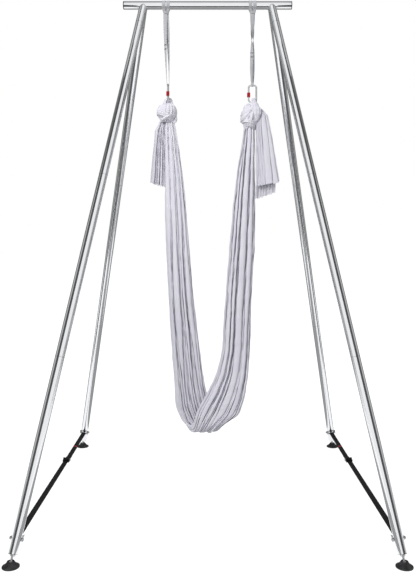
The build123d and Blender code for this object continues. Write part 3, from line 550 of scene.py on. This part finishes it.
# Drop below the bar's axis, turn in degrees, half the gap between the strands, width, and how far each
# strand lies to its own side
left_stations = ((46, 0, 1.5, 23, 5), (150, -15, 3.5, 21, 7), (260, -40, 6, 19, 5), (370, -70, 8, 17, 1),
                 (477, -90, 6.4, 12, 0))
right_stations = ((46, 0, 2, 24, 3), (110, 15, 3, 24, 2), (170, 45, 4, 22, 0), (215, 92, 5, 20, 0),
                  (255, 135, 4, 21, 0), (300, 165, 3, 21, -2), (380, 180, 4, 17, -6), (450, 180, 5.5, 13, -4),
                  (480, 180, 6.4, 12, 0))
sling_runs = {"left": (-0.249, -0.237, left_stations), "right": (0.269, 0.268, right_stations)}
for side_name, (x_top, x_foot, stations) in sling_runs.items():
    table = np.array(stations, float)
    drop = np.linspace(table[0, 0], table[-1, 0], 180)
    turn, gap, width, beside = (smooth(np.interp(drop, table[:, 0], table[:, i]), 9) for i in (1, 2, 3, 4))
    beside = beside[:, None] / 1000 * (1, 0, 0)
    share = (drop - drop[0]) / (drop[-1] - drop[0])
    turn = np.radians(turn)
    along = np.stack([np.cos(turn), np.sin(turn), 0 * turn], -1)
    facing = np.stack([-np.sin(turn), np.cos(turn), 0 * turn], -1)
    line = np.stack([x_top + share * (x_foot - x_top), 0 * drop, bar_height - drop / 1000], -1)
    front = line - facing * gap[:, None] / 1000 - beside
    back = line + facing * gap[:, None] / 1000 + beside
    # The foot is half a circle under the carabiner's top
    bend = np.linspace(0, np.pi, 24)[1:-1, None]
    foot_centre, foot_facing = line[-1], facing[-1]
    foot = foot_centre + 0.0064 * (-np.cos(bend) * foot_facing - np.sin(bend) * np.array([0, 0, 1]))
    strands = np.concatenate([front, foot, back[::-1]])
    strand_across = np.concatenate([along, np.broadcast_to(along[-1], foot.shape), along[::-1]])
    strand_width = np.concatenate([width, np.full(len(foot), width[-1]), width[::-1]]) / 1000
    pieces = [webbing(f"{side_name}_sling_strands", strands, strand_across, strand_width, sling_thickness,
                      grey_weave)]
    for number, place in enumerate((-1, 1)):
        # Each side of the hitch: up the front from the throat, over the bar, and down the back
        angle = np.radians(np.linspace(-148, 148, 70))
        wrap_radius = bar_radius + 0.0003 + sling_thickness / 2
        x_wrap = x_top + place * 0.0128
        over = np.stack([np.full(70, x_wrap), wrap_radius * np.sin(angle), wrap_radius * np.cos(angle)], -1)
        lead = np.array([(x_top + place * 0.0065, -0.0028, -0.047), (x_top + place * 0.0112, -0.0068, -0.038)])
        path = np.concatenate([lead, over, (lead * (1, -1, 1))[::-1]]) + (0, 0, bar_height)
        path = smooth(evenly(path, 0.002), 3)
        wide = np.full(len(path), 0.021)
        edge = 0.012 + 0.009 * np.linspace(0, 1, 17)
        wide[:17], wide[-17:] = edge, edge[::-1]
        pieces.append(webbing(f"{side_name}_sling_wrap_{number + 1}", path, np.array([[1.0, 0, 0]] * len(path)),
                              wide, sling_thickness, grey_weave))
    # The bight: the loop's own turn, drawn tight across the throat in front and behind
    angle = np.linspace(0, 2 * np.pi, 73)
    bight = np.stack([x_top + 0.0155 * np.cos(angle), 0.0078 * np.sin(angle),
                      bar_height - 0.044 - 0.003 * np.cos(angle)], -1)
    rise = np.stack([0.25 * np.cos(angle), 0.35 * np.sin(angle), np.ones(73)], -1)
    pieces.append(webbing(f"{side_name}_sling_bight", bight, rise, 0.012, sling_thickness, grey_weave))
    # The rear strand's end goes on up into the hitch and closes the throat behind
    rise = np.linspace(0.054, 0.0275, 14)
    into = np.stack([np.full(14, x_top), 0.0035 + 0.004 * np.linspace(0, 1, 14), bar_height - rise], -1)
    pieces.append(webbing(f"{side_name}_sling_throat", into, np.array([[1.0, 0, 0]] * 14), 0.017,
                          sling_thickness, grey_weave))
    # Two bar tacks through both strands
    for number, tack_drop in enumerate((0.238, 0.262) if side_name == "left" else (0.286, 0.31)):
        at = np.argmin(np.abs(drop / 1000 - tack_drop))
        for face, strand, sign in (("front", front, -1), ("back", back, 1)):
            rows = np.linspace(-0.42, 0.42, 11)[:, None] * width[at] / 1000
            normal = facing[at] * sign
            middle = strand[at] + normal * (sling_thickness / 2 + 0.0001) + rows * along[at]
            starts, stops = middle + (0, 0, 0.0045), middle - (0, 0, 0.0045)
            tack = stitches(f"{side_name}_bar_tack_{number + 1}_{face}", starts, stops,
                            np.broadcast_to(normal, starts.shape), dark_thread, 0.0008)
            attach(tack, "swing")
    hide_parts(f"{side_name}_sling")
    for piece in pieces:
        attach(piece, "swing")

# Carabiners: polished steel rod with a screw gate. The gate's locking sleeve is red anodised aluminium
# with a milled grip.
polished, tree, shader = finish("polished_steel", (0.68, 0.69, 0.71), 0.14, 1.0)
tree.links.new(spread(tree, grain(tree, 120), 0.1, 0.24), shader.inputs["Roughness"])
raise_by(tree, shader, grain(tree, 700, 2, (1, 1, 0.2)), 0.05, 0.0002)
anodised, tree, shader = finish("red_anodised", (0.5, 0.008, 0.02), 0.34, 0.55)
tree.links.new(spread(tree, grain(tree, 600), 0.26, 0.46), shader.inputs["Roughness"])
for side_name in sides:
    rig[f"{side_name}_carabiner_body"].data.materials[0] = polished
    rig[f"{side_name}_carabiner_gate"].data.materials[0] = polished
    low, high = (np.array(corner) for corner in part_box(f"{side_name}_locking_sleeve"))
    centre = (low + high) / 2
    # The sleeve's outline: outer wall with 20 milled flutes between two plain rims, then the bore
    outline = np.array([(7.0, -13.5), (8.6, -13.5), (9.4, -12.7), (9.4, -10.6), (8.9, -10.0), (9.5, -9.4),
                        (9.5, -6), (9.5, 0), (9.5, 6), (9.5, 9.4), (8.9, 10.0), (9.4, 10.6), (9.4, 12.7),
                        (8.6, 13.5), (7.0, 13.5), (4.95, 13.5), (4.95, -13.5)]) / 1000
    angle = np.linspace(0, 2 * np.pi, 160, endpoint=False)
    flute = 0.00045 * (0.5 + 0.5 * np.cos(20 * angle)) ** 1.5
    depth = np.where((np.abs(outline[:, 1]) < 0.0096) & (outline[:, 0] > 0.0094), 1.0, 0.0)
    radius = outline[:, :1] - depth[:, None] * flute[None]
    points = np.stack([centre[0] + radius * np.cos(angle), centre[1] + radius * np.sin(angle),
                       np.broadcast_to(centre[2] + outline[:, 1:], radius.shape)], -1)
    sleeve = surface(f"{side_name}_milled_sleeve", points, grid_faces(len(outline), 160, True, True), anodised)
    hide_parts(f"{side_name}_locking_sleeve")
    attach(sleeve, f"{side_name}_sleeve")
rig["gate_rivets"].data.materials[0] = polished

# Silk: one long length of pale, slightly stretchy cloth, gathered at both ends, knotted through the
# carabiners, with its two ends left hanging as tails. It hangs between the knots as a deep loop.
silk, tree, shader = finish("pale_silk", (0.76, 0.73, 0.8), 0.52)
place = make_node(tree, "TexCoord").outputs["UV"]
threads = make_node(tree, "TexWave", [(place, 0)], bands_direction="DIAGONAL", Scale=520, Distortion=1.5)
pulls = make_node(tree, "Mapping", [(place, 0)], Scale=(9, 0.6, 1))
streaks = make_node(tree, "TexNoise", [(pulls.outputs[0], 0)], Scale=5, Detail=4)
tone = blend_colours(tree, spread(tree, streaks.outputs[0], 0, 1), (0.74, 0.725, 0.79), (0.82, 0.805, 0.85))
tree.links.new(tone, shader.inputs["Base Color"])
tree.links.new(spread(tree, streaks.outputs[0], 0.44, 0.6), shader.inputs["Roughness"])
creases = make_node(tree, "Mapping", [(place, 0)], Scale=(60, 2.2, 1))
fine = make_node(tree, "TexNoise", [(creases.outputs[0], 0)], Scale=1.6, Detail=3)
weave_bump = make_node(tree, "Bump", [(threads.outputs["Fac"], "Height")], Strength=0.15, Distance=0.0002)
fold_bump = make_node(tree, "Bump", [(fine.outputs[0], "Height"), (weave_bump.outputs[0], "Normal")],
                      Strength=0.35, Distance=0.004)
tree.links.new(fold_bump.outputs[0], shader.inputs["Normal"])
shader.inputs["Sheen Weight"].default_value = 0.25
shader.inputs["Sheen Roughness"].default_value = 0.4


def gathered(name, run, front_share, back_share, front, back, corner, columns, width, wrinkle=0.0012,
             hem=0):
    """Cloth gathered into folds, carried along a run of stations.

    A station gives the two edges' x and drop, the middle's y and the depth. Across one fold the cloth
    follows an omega: it goes straight on from a head behind to a head in front and back, swings out past
    them by sin 2t, and moves front to back by the 0.6th power of cos t, so that heads are broad and
    valleys narrow. The shares are the heads' widths, front and back how far they stand out. The folds
    fill a superellipse whose power is corner. Small waves run over it, and the last edge waves by hem."""
    rows, folds = front_share.shape
    first = np.stack([run[:, 0], run[:, 4], bar_height * 1000 - run[:, 1]], -1) / 1000
    last = np.stack([run[:, 2], run[:, 4], bar_height * 1000 - run[:, 3]], -1) / 1000
    centre, half = (first + last) / 2, (last - first) / 2
    across = unit(half)
    ahead = unit(np.gradient(centre, axis=0))
    behind = unit(np.cross(across, ahead))
    front_share = front_share / front_share.sum(1, keepdims=True)
    back_share = back_share / back_share.sum(1, keepdims=True)
    front_at = np.cumsum(front_share, 1) - front_share / 2
    back_at = np.cumsum(back_share, 1) - back_share / 2
    phase = np.linspace(0.2, folds - 0.2, columns)
    which = np.clip(phase.astype(int), 0, folds - 1)
    nearest = np.round(phase).astype(int)
    part = phase - which
    forward = np.cos(2 * np.pi * part)[None] < 0
    over = front_at[:, which] + 2 * np.abs(part - 0.5) * (back_at[:, which + (part >= 0.5)] - front_at[:, which])
    widest = np.concatenate([front_at[:, :1], front_at, front_at[:, -1:]], 1)
    reach_front = np.maximum(0.45 * front_share - 0.145 * np.diff(back_at, axis=1), 0.05 * front_share)
    reach_back = np.maximum(0.45 * back_share - 0.145 * np.diff(widest, axis=1), 0.05 * back_share)
    reach = np.where(forward, reach_front[:, which], reach_back[:, nearest])
    over = 2 * (over + reach * np.sin(4 * np.pi * part)) - 1
    limit = (1 - np.clip(np.abs(over), 0, 0.985) ** corner[:, None]) ** (1 / corner[:, None])
    swing = np.cos(2 * np.pi * part)[None]
    swing = np.sign(swing) * np.abs(swing) ** 0.6 * np.where(forward, front[:, which], back[:, nearest]) * limit
    points = centre[:, None] + half[:, None] * over[..., None]
    points = points + behind[:, None] * (swing * run[:, 5:6] / 2000)[..., None]
    distance = np.concatenate([[0], np.cumsum(np.linalg.norm(np.diff(centre, axis=0), axis=1))])
    normal = unit(np.cross(np.gradient(points, axis=0), np.gradient(points, axis=1)))
    u, v = phase[None] * 2.1, distance[:, None]
    waves = (np.sin(9 * v + 1.3 * u + 1) + 0.7 * np.sin(23 * v - 0.9 * u + 2.2 * np.sin(4 * v))
             + 0.45 * np.sin(51 * v + 2.7 * u) + 0.3 * np.sin(97 * v - 3.1 * u + 0.4))
    points = points + normal * (wrinkle * waves)[..., None]
    points[..., 2] += hem * (v / distance[-1]) ** 4 * (swing + 0.5 * np.sin(1.1 * u))
    uv = np.stack([np.broadcast_to(phase / folds * width, (rows, columns)),
                   np.broadcast_to(v, (rows, columns))], -1)
    made = surface(name, points, grid_faces(rows, columns), silk, uv)
    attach(made, "swing")
    return made, points


def stations_along(table, rows, half_width, dense=None):
    """Stations as smooth columns: straight between them by their distance, then averaged. The
    rows stand closer together round the dense station."""
    table = np.array(table, float)
    middle = np.stack([(table[:, 0] + table[:, 2]) / 2, table[:, 4], (table[:, 1] + table[:, 3]) / 2], -1)
    run = np.concatenate([[0], np.cumsum(np.linalg.norm(np.diff(middle, axis=0), axis=1))])
    fine = np.linspace(0, run[-1], 4000)
    values = smooth(np.stack([np.interp(fine, run, column) for column in table.T], -1), half_width)
    weight = np.ones(4000)
    if dense is not None:
        weight = 1 + 4 * np.exp(-(((fine - run[dense]) / 130) ** 2))
    count = np.concatenate([[0], np.cumsum(weight[1:])])
    places = np.interp(np.linspace(0, count[-1], rows), count, np.arange(4000))
    return np.stack([np.interp(places, np.arange(4000), column) for column in values.T], -1)


# The hammock is a broad gathered band. It comes down from the left knot, passes under at the back, turns
# forward at its lowest line and goes up in front to the right knot. Each station gives the first edge's x
# and drop below the bar, the second edge's x and drop, the middle's y and the depth, in millimetres.
hammock_stations = (
    (-246, 655, -214, 655, 0, 34), (-253, 700, -198, 700, 0, 50), (-255, 807, -177, 807, 0, 56),
    (-255, 987, -152, 987, 0, 64), (-254, 1167, -132, 1167, 0, 70), (-248, 1467, -105, 1467, 0, 76),
    (-234, 1766, -81, 1766, 4, 80), (-215, 2066, -43, 2066, 16, 78), (-202, 2275, -14, 2285, 36, 74),
    (-195, 2420, 14, 2390, 44, 68), (-158, 2498, 38, 2478, 45, 62), (-134, 2524, 52, 2522, 34, 56),
    (-128, 2534, 60, 2541, 0, 52), (-90, 2528, 76, 2521, -34, 56), (-80, 2486, 126, 2486, -45, 62),
    (-72, 2436, 184, 2451, -46, 64), (-40, 2372, 206, 2396, -44, 68), (-8, 2321, 224, 2335, -40, 72),
    (48, 2205, 243, 2215, -32, 74), (82, 2066, 252, 2066, -22, 78), (104, 1766, 264, 1766, -8, 80),
    (125, 1467, 282, 1467, 0, 76), (155, 1167, 286, 1167, 0, 70), (178, 987, 284, 987, 0, 64),
    (206, 807, 284, 807, 0, 56), (214, 736, 280, 736, 0, 50), (226, 685, 264, 685, 0, 34),
)
rows = 400
run = stations_along(hammock_stations, rows, 46, 12)
v = np.linspace(0, 1, rows)[:, None]
# Widths of the heads in front: below the left knot, half way down, near the seat, and then even, where
# they are out of sight. Then those behind, which face forward on the way up to the right knot.
front_places = (0.1, 0.24, 0.36, 0.5)
front_tables = ((24, 2, 2, 26, 2, 2, 3, 16, 2, 2, 14, 3, 2), (17, 3, 3, 24, 3, 3, 6, 9, 3, 3, 19, 4, 3),
                (17, 3, 10, 4, 11, 4, 9, 5, 12, 4, 8, 5, 8), (8, 7, 8, 7, 8, 8, 7, 8, 7, 8, 8, 7, 8))
front_reach = ((10, 8, 8, 10, 8, 8, 8, 10, 8, 8, 10, 8, 8), (9, 9, 6, 10, 5, 6, 10, 9, 5, 9, 9, 7, 7),
               (8, 10, 7, 10, 7, 10, 8, 10, 6, 10, 8, 10, 8), (9, 7, 9, 7, 9, 8, 9, 7, 9, 8, 7, 9, 8))
back_places = (0.44, 0.56, 0.66, 0.8)
back_tables = ((7, 8, 6, 7, 8, 7, 6, 8, 7, 7, 6, 8, 7, 8), (9, 4, 11, 4, 9, 5, 12, 4, 10, 4, 9, 5, 8, 6),
               (11, 3, 13, 4, 10, 3, 5, 20, 4, 3, 12, 4, 5, 3), (11, 2, 9, 2, 11, 2, 2, 31, 2, 3, 17, 2, 3, 3))
back_reach = ((8, 9, 8, 7, 9, 8, 8, 7, 9, 8, 9, 7, 8, 8), (8, 10, 8, 10, 7, 10, 8, 10, 8, 10, 7, 10, 8, 8),
              (9, 8, 10, 6, 9, 5, 10, 9, 6, 8, 10, 5, 8, 6), (10, 5, 9, 5, 10, 5, 5, 10, 5, 6, 10, 5, 6, 6))


def change(places, tables):
    """Tables of values, one for each place along the cloth, as smooth changes from one to the next."""
    level = np.interp(v[:, 0], places, np.arange(len(places)))
    level = np.clip(level.astype(int) + 0.5 - 0.5 * np.cos(np.pi * (level % 1)), 0, len(places) - 1)
    return np.stack([np.interp(level, np.arange(len(places)), column) for column in zip(*tables)], 1)


def vary(values, amount, slow, quick):
    """Values along the cloth that swell and shrink a little, each fold's in its own time."""
    order = np.arange(values.shape[1])[None]
    return values * (1 + amount * np.sin(slow * v + 1.7 * order) + 0.6 * amount * np.sin(quick * v + 2.9 * order))


front_share = vary(change(front_places, front_tables), 0.15, 7, 17)
back_share = vary(change(back_places, back_tables), 0.15, 6, 19)
front = np.clip(vary(change(front_places, front_reach) / 10, 0.1, 11, 29), 0.3, 1)
back = np.clip(vary(change(back_places, back_reach) / 10, 0.1, 9, 31), 0.3, 1)
corner = np.full(rows, 3.2)
hammock, points = gathered("silk_hammock_cloth", run, front_share, back_share, front, back, corner, 244, 1.45)
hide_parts("silk_hammock")

# Tails: the cloth's two ends below the knots, each with a narrow rolled hem. The right one hangs in two
# layers, the shorter in front.
tail_tables = {
    "left_tail_cloth": ((30, 2, 3, 4, 3, 4, 3, 10, 3, 5, 12, 4, 5, 4, 5, 3), 1.45, (
        (-272, 668, -250, 668, 0, 20), (-287, 700, -254, 700, 0, 34),
                              (-313, 753, -254, 753, 0, 44), (-329, 907, -253, 907, 0, 52),
                              (-343, 1062, -253, 1086, 0, 60))),
    "right_tail_front": ((5, 3, 6, 3, 5, 3, 8, 3, 34, 3, 22, 5), 0.8, (
        (266, 608, 292, 608, -6, 18), (278, 628, 330, 628, -12, 24), (288, 663, 360, 663, -14, 28),
        (286, 801, 389, 801, -15, 32), (286, 1082, 432, 1056, -16, 34))),
    "right_tail_under": ((9, 5, 8, 4, 10, 6, 9, 5, 12, 6, 10, 7, 9), 0.8, (
        (278, 640, 312, 640, 8, 18), (288, 700, 356, 700, 14, 24), (287, 860, 385, 860, 15, 28),
        (287, 1025, 412, 1025, 15, 32), (286, 1158, 406, 1116, 15, 34))),
}
for number, (name, (heads_wide, width, table)) in enumerate(tail_tables.items()):
    run = stations_along(table, 110, 60)
    v = np.linspace(0, 1, 110)[:, None]
    count = len(heads_wide)
    heads_wide = np.array(heads_wide) / sum(heads_wide)
    front_share = vary(heads_wide + 0 * v, 0.15, 3, 9)
    back_share = vary(np.ones(count + 1) + 0 * v, 0.3, 2, 7)
    front = np.clip(vary(0.35 + 0.65 * np.clip(heads_wide / 0.12, 0, 1) + 0 * v, 0.12, 3, 8), 0.3, 1)
    back = np.clip(vary(np.full(count + 1, 0.85) + 0 * v, 0.15, 4, 9), 0.3, 1)
    tail, points = gathered(name, run, front_share, back_share, front, back, np.full(110, 4.0), count * 22, width,
                            0.0007, 0.006)
    if name != "right_tail_under":
        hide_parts("left_silk_tail" if number == 0 else "right_silk_tail")
    hem = surface(name + "_hem", tube_along(points[-1] + (0, 0, 0.0004), 0.0011, 8), grid_faces(count * 22, 8, True),
                  silk)
    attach(hem, "swing")

# Knots: the gathered cloth passes through the carabiner as a soft loop, and is wound round itself below
# it. A knot is a creased core with swathes of folded cloth over it.


def swathe(name, line, out, up, thick, tall, pleats, lean, closed):
    """A swathe of folded cloth along a line: an ellipse in the out and up directions, whose outline is
    raised into pleats that lean as they go along. An open one is drawn together at both ends."""
    count = 64
    angle = np.linspace(0, 2 * np.pi, count, endpoint=False)[None]
    along = np.arange(len(line))[:, None] / len(line)
    turns = 2 * np.pi * along
    deep = 0.62 / pleats
    pleat = 1 + deep * np.cos(pleats * angle + lean * turns) + 0.35 * deep * np.sin(2 * pleats * angle - lean * turns)
    swell = 1 + 0.1 * np.sin(2 * turns + 0.7) + 0.05 * np.sin(5 * turns)
    if not closed:
        swell = swell * np.clip(np.sin(np.pi * (along * 0.98 + 0.01)) * 6, 0.03, 1)
    side = (thick * np.cos(angle) * pleat * swell)[..., None] * out[:, None]
    rise = (tall * np.sin(angle) * pleat * swell)[..., None] * up[:, None]
    points = line[:, None] + side + rise
    if not closed:
        points = np.concatenate([line[None, :1].repeat(count, 1), points, line[None, -1:].repeat(count, 1)])
    uv = np.stack(np.broadcast_arrays(angle * 0.012, np.linspace(0, 0.3, len(points))[:, None]), -1)
    made = surface(name, points, grid_faces(len(points), count, True, closed), silk, uv)
    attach(made, "swing")
    return made


def wound(name, centre, radius, depth, thick, tall, tilt, lean_back, pleats, lean):
    """A swathe wound once round a knot: a slightly uneven oval of the two radii, tilted sideways and back."""
    turn = np.linspace(0, 2 * np.pi, 120, endpoint=False)
    a, b = np.radians(tilt), np.radians(lean_back)
    right = np.array([np.cos(a), 0, -np.sin(a)])
    away = np.array([0, np.cos(b), np.sin(b)])
    up = unit(np.cross(right, away))
    out = np.cos(turn)[:, None] * right + np.sin(turn)[:, None] * away
    uneven = 1 + 0.05 * np.sin(2 * turn + lean) + 0.03 * np.sin(3 * turn + pleats)
    oval = radius * np.cos(turn)[:, None] * right + depth * np.sin(turn)[:, None] * away
    line = np.array(centre) + oval * uneven[:, None]
    return swathe(name, line, out, np.broadcast_to(up, line.shape), thick, tall, pleats, lean, True)


# Each knot: its x, its core's outline (drop and radius), how deep the core's upright pleats are, where the
# loop passes over the carabiner (place and the way across it), how far its legs spread, and its swathes:
# drop, x and y off the middle, two radii, thickness, height, tilt, lean, pleats and how far they turn
knots = {
    "left": (-0.243, ((0.588, 0.010), (0.592, 0.030), (0.606, 0.048), (0.632, 0.0585), (0.654, 0.0585),
                      (0.672, 0.050), (0.702, 0.030)), 0.0024, (-0.237, 0.0065, 2.346), (1, 0, 0), 0.023, (
        (0.657, -0.002, -0.002, 0.0445, 0.044, 0.0135, 0.010, 7, 5, 6, 1),
        (0.677, -0.007, -0.003, 0.042, 0.042, 0.012, 0.011, 26, -8, 6, 1),
        (0.679, 0.006, -0.002, 0.040, 0.041, 0.012, 0.010, -27, -5, 6, -1),
    )),
    "right": (0.248, ((0.592, 0.012), (0.600, 0.028), (0.625, 0.036), (0.660, 0.040), (0.700, 0.038),
                      (0.726, 0.033), (0.738, 0.024)), 0.0006, (0.2755, 0, 2.343), (0, 1, 0), 0.002, (
        (0.638, 0.001, 0.002, 0.038, 0.032, 0.017, 0.020, -36, 4, 6, 1),
        (0.660, -0.008, -0.002, 0.041, 0.034, 0.015, 0.019, -52, 0, 6, 1),
        (0.680, 0.011, -0.003, 0.047, 0.037, 0.012, 0.013, -76, 2, 5, -1),
        (0.704, 0.004, -0.004, 0.030, 0.035, 0.014, 0.017, 12, -6, 6, 1),
        (0.724, 0.005, -0.002, 0.028, 0.028, 0.012, 0.011, 24, -6, 6, -1),
    )),
}
for side_name, (x, outline, pleat_depth, rod, way, splay, swathes) in knots.items():
    outline = np.array(outline)
    drop = np.linspace(outline[0, 0], outline[-1, 0], 90)
    size = smooth(np.interp(drop, outline[:, 0], outline[:, 1]), 7)[:, None]
    angle = np.linspace(0, 2 * np.pi, 140, endpoint=False)[None]
    low = (drop[:, None] - drop[0]) / (drop[-1] - drop[0])
    ends_drawn = (2 * low - 1) ** 4
    crease = (0.0006 * np.sin(520 * drop[:, None] + 3 * angle) + 0.0004 * np.sin(900 * drop[:, None] - 5 * angle)
              + 0.0035 * ends_drawn * np.cos(13 * angle + 6 * low)
              + pleat_depth * np.cos(19 * angle + 3 * low + 1.5 * np.sin(2 * angle)))
    size = size + crease
    points = np.stack(np.broadcast_arrays(x + size * np.cos(angle), size * np.sin(angle),
                                          bar_height - drop[:, None]), -1)
    tip = [np.full((1, 140, 3), (x, 0, bar_height - drop[i])) for i in (0, -1)]
    points = np.concatenate([tip[0], points, tip[1]])
    uv = np.stack(np.broadcast_arrays(angle * 0.05, np.linspace(0, 0.2, 92)[:, None]), -1)
    core = surface(f"{side_name}_knot_core", points, grid_faces(92, 140, True), silk, uv)
    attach(core, "swing")
    for number, (down, dx, dy, *sizes) in enumerate(swathes):
        wound(f"{side_name}_knot_swathe_{number + 1}", (x + dx, dy, bar_height - down), *sizes)
    # The loop over the carabiner's foot: half a circle between two legs that run into the core
    way = np.array(way, float)
    half = np.linspace(0, np.pi, 40)[:, None]
    arch = -way * 0.0162 * np.cos(half) + np.array([0, 0, 0.0162]) * np.sin(half)
    share = np.linspace(1, 0, 24)[:-1, None]
    leg, beside = share * np.array([0, 0, -0.05]), way * (0.0162 + splay * share)
    line = np.concatenate([leg - beside, arch, (leg + beside)[::-1]]) + rod
    out = np.broadcast_to(np.cross(way, (0, 0, 1)), line.shape)
    ahead = unit(np.gradient(line, axis=0))
    swathe(f"{side_name}_knot_loop", line, out, np.cross(ahead, out), 0.0098, 0.0098, 5, 2, False)
    if side_name == "left":
        # A small slack loop stands out at the knot's right
        turn = np.linspace(0, 2 * np.pi, 70, endpoint=False)[:, None]
        line = np.array([-0.2, -0.012, 2.239]) + np.concatenate(
            [0.011 * np.cos(turn), 0.006 * np.sin(turn), 0.019 * np.sin(turn)], 1)
        out = unit(np.concatenate([np.cos(turn), 0 * turn, np.sin(turn)], 1))
        swathe("left_knot_slack_loop", line, out, np.broadcast_to((0.0, -1.0, 0.0), line.shape),
                            0.0068, 0.0085, 4, 2, True)
    else:
        # A broad sheaf of pleats runs from the loop down into the knot's right shoulder
        bends = np.array([(0.2715, -0.020, 2.352), (0.2745, -0.024, 2.338), (0.281, -0.031, 2.318),
                          (0.288, -0.036, 2.296), (0.290, -0.034, 2.262), (0.284, -0.024, 2.224)])
        line = smooth(evenly(bends, 0.0012), 12)
        wide = np.interp(np.linspace(0, 1, len(line)), (0, 0.15, 0.45, 0.75, 1), (0.012, 0.019, 0.028, 0.023, 0.010))
        ahead = unit(np.gradient(line, axis=0))
        out = unit(np.cross(ahead, (1, 0, 0)))
        swathe("right_knot_sheaf", line, out, np.cross(out, ahead), 0.010, wide[:, None], 9, 0.3,
                            False)
    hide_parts(f"{side_name}_silk_knot")
